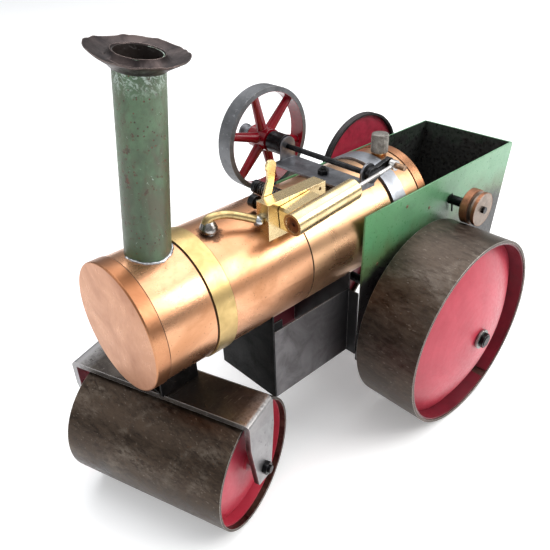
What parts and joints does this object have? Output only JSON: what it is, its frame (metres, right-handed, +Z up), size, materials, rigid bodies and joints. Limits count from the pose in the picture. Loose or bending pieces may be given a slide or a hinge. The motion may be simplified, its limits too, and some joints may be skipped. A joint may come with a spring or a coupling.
{
  "type": "model steam road roller",
  "caption": "Live-steam model road roller: horizontal copper boiler with chimney, oscillating cylinder and flywheel, swivelling front roll, wide rear wheels, open tender.",
  "frame": {"origin": "centre of the bounding box at ground level", "axes": "+Z up, the front of the vehicle faces -Y, its left-hand side with the cylinder faces +X"},
  "size_m": [0.1764, 0.3068, 0.2367],
  "materials": {
    "copper": "polished copper, slightly streaked",
    "copper_cap": "polished copper, matt pinkish on the flat",
    "brass_sheet": "rolled brass sheet, lightly tarnished",
    "strap_steel": "bare steel strip, dull",
    "chimney_paint": "green enamel, worn, rust specks",
    "sooty_sheet": "thin sheet blackened by heat",
    "fluxed_brass": "brass dark with flux and heat",
    "pipe_brass": "bent brass tube, dulled",
    "brass_bar": "milled brass bar",
    "brass_tube": "polished brass tube",
    "dark_nut": "blackened steel",
    "tender_paint": "green enamel outside, sooty black inside and low down",
    "rivet_copper": "copper rivet, dull",
    "turned_steel": "turned steel",
    "firebox_steel": "grey sheet steel, rubbed",
    "blacked_steel": "blackened steel",
    "knurled_steel": "knurled steel",
    "fork_steel": "dark flat bar, bright at the bends",
    "roll_steel": "mottled browned steel",
    "wheel_red": "red enamel",
    "flywheel_red": "red enamel with a bright turned rim",
    "plug_copper": "heat-stained copper",
    "pin_bronze": "dull bronze",
    "roller_rust": "rust-brown steel"
  },
  "bodies": {
    "chassis": {"boiler_barrel": "copper", "boiler_front_cap": "copper_cap", "boiler_rear_cap": "copper_cap", "smokebox_band": "brass_sheet", "boiler_strap": "strap_steel", "chimney_tube": "chimney_paint", "chimney_crown": "sooty_sheet", "steam_outlet": "fluxed_brass", "steam_pipe": "pipe_brass", "valve_body": "brass_bar", "port_block": "brass_bar", "bearing_bracket": "strap_steel", "bracket_nut": "dark_nut", "side_plate_left": "tender_paint", "side_plate_right": "tender_paint", "plate_rivets": "rivet_copper", "tender_floor": "tender_paint", "tender_back": "tender_paint", "rear_axle": "turned_steel", "rear_axle_washers": "turned_steel", "rear_axle_nuts": "dark_nut", "firebox_casing": "firebox_steel", "firebox_flap": "blacked_steel", "perch_saddle": "blacked_steel", "safety_valve_base": "brass_bar"},
    "safety_valve": {"safety_valve_cap": "knurled_steel"},
    "steering": {"fork": "fork_steel", "kingpin": "turned_steel", "steering_nuts": "dark_nut", "front_axle": "turned_steel"},
    "front_roll": {"front_roll_drum": "roll_steel", "front_roll_ends": "wheel_red"},
    "left_wheel": {"left_wheel_tread": "roll_steel", "left_wheel_dish": "wheel_red", "left_wheel_hub": "wheel_red", "left_wheel_lining": "wheel_red"},
    "right_wheel": {"right_wheel_tread": "roll_steel", "right_wheel_dish": "wheel_red", "right_wheel_hub": "wheel_red", "right_wheel_lining": "wheel_red"},
    "crank": {"crankshaft": "blacked_steel", "crank_web": "blacked_steel", "flywheel": "flywheel_red", "shaft_collar": "dark_nut", "drive_pulley": "turned_steel"},
    "cylinder": {"cylinder_tube": "brass_tube", "cylinder_block": "brass_bar", "cylinder_plug": "plug_copper", "trunnion": "turned_steel", "trunnion_spring": "blacked_steel", "trunnion_nut": "dark_nut"},
    "piston_group": {"piston": "turned_steel", "piston_rod": "turned_steel", "crank_pin": "pin_bronze"},
    "regulator": {"valve_lever": "brass_bar", "lever_spindle": "turned_steel", "lever_nut": "dark_nut"},
    "second_shaft": {"layshaft": "blacked_steel", "big_pulley": "wheel_red", "friction_roller": "roller_rust"}
  },
  "joints": [
    {"name": "steer_swivel", "type": "hinge", "parent": "chassis", "child": "steering", "pos_m": [0, -0.10479, 0.074], "axis": [0, 0, 1], "range_deg": [-44, 2]},
    {"name": "front_roll_spin", "type": "hinge", "parent": "steering", "child": "front_roll", "pos_m": [0, -0.10479, 0.035], "axis": [0.9432, 0.3322, 0], "continuous": true},
    {"name": "left_wheel_spin", "type": "hinge", "parent": "chassis", "child": "left_wheel", "pos_m": [0, 0.05191, 0.0585], "axis": [1, 0, 0], "continuous": true},
    {"name": "right_wheel_spin", "type": "hinge", "parent": "chassis", "child": "right_wheel", "pos_m": [0, 0.05191, 0.0585], "axis": [1, 0, 0], "continuous": true},
    {"name": "second_shaft_spin", "type": "hinge", "parent": "chassis", "child": "second_shaft", "pos_m": [0, 0.08331, 0.1205], "axis": [1, 0, 0], "continuous": true},
    {"name": "crank_spin", "type": "hinge", "parent": "chassis", "child": "crank", "pos_m": [0, 0.00791, 0.1589], "axis": [1, 0, 0], "continuous": true},
    {"name": "cylinder_rock", "type": "hinge", "parent": "chassis", "child": "cylinder", "pos_m": [0, -0.03709, 0.1562], "axis": [1, 0, 0], "range_deg": [-17.9, 14.3]},
    {"name": "piston_slide", "type": "slide", "parent": "cylinder", "child": "piston_group", "axis": [0, 0.9959, 0.0909], "range_m": [-0.0259, 0.0001]},
    {"name": "regulator_turn", "type": "hinge", "parent": "chassis", "child": "regulator", "pos_m": [0, -0.04809, 0.1554], "axis": [1, 0, 0], "range_deg": [-18, 18]},
    {"name": "safety_valve_lift", "type": "slide", "parent": "chassis", "child": "safety_valve", "axis": [0, 0, 1], "range_m": [0, 0.0015], "stiffness_N_per_m": 300, "springref_m": -0.002}
  ],
  "couplings": [
    {"joint": "second_shaft_spin", "follows": "left_wheel_spin", "ratio": -5.52}
  ]
}
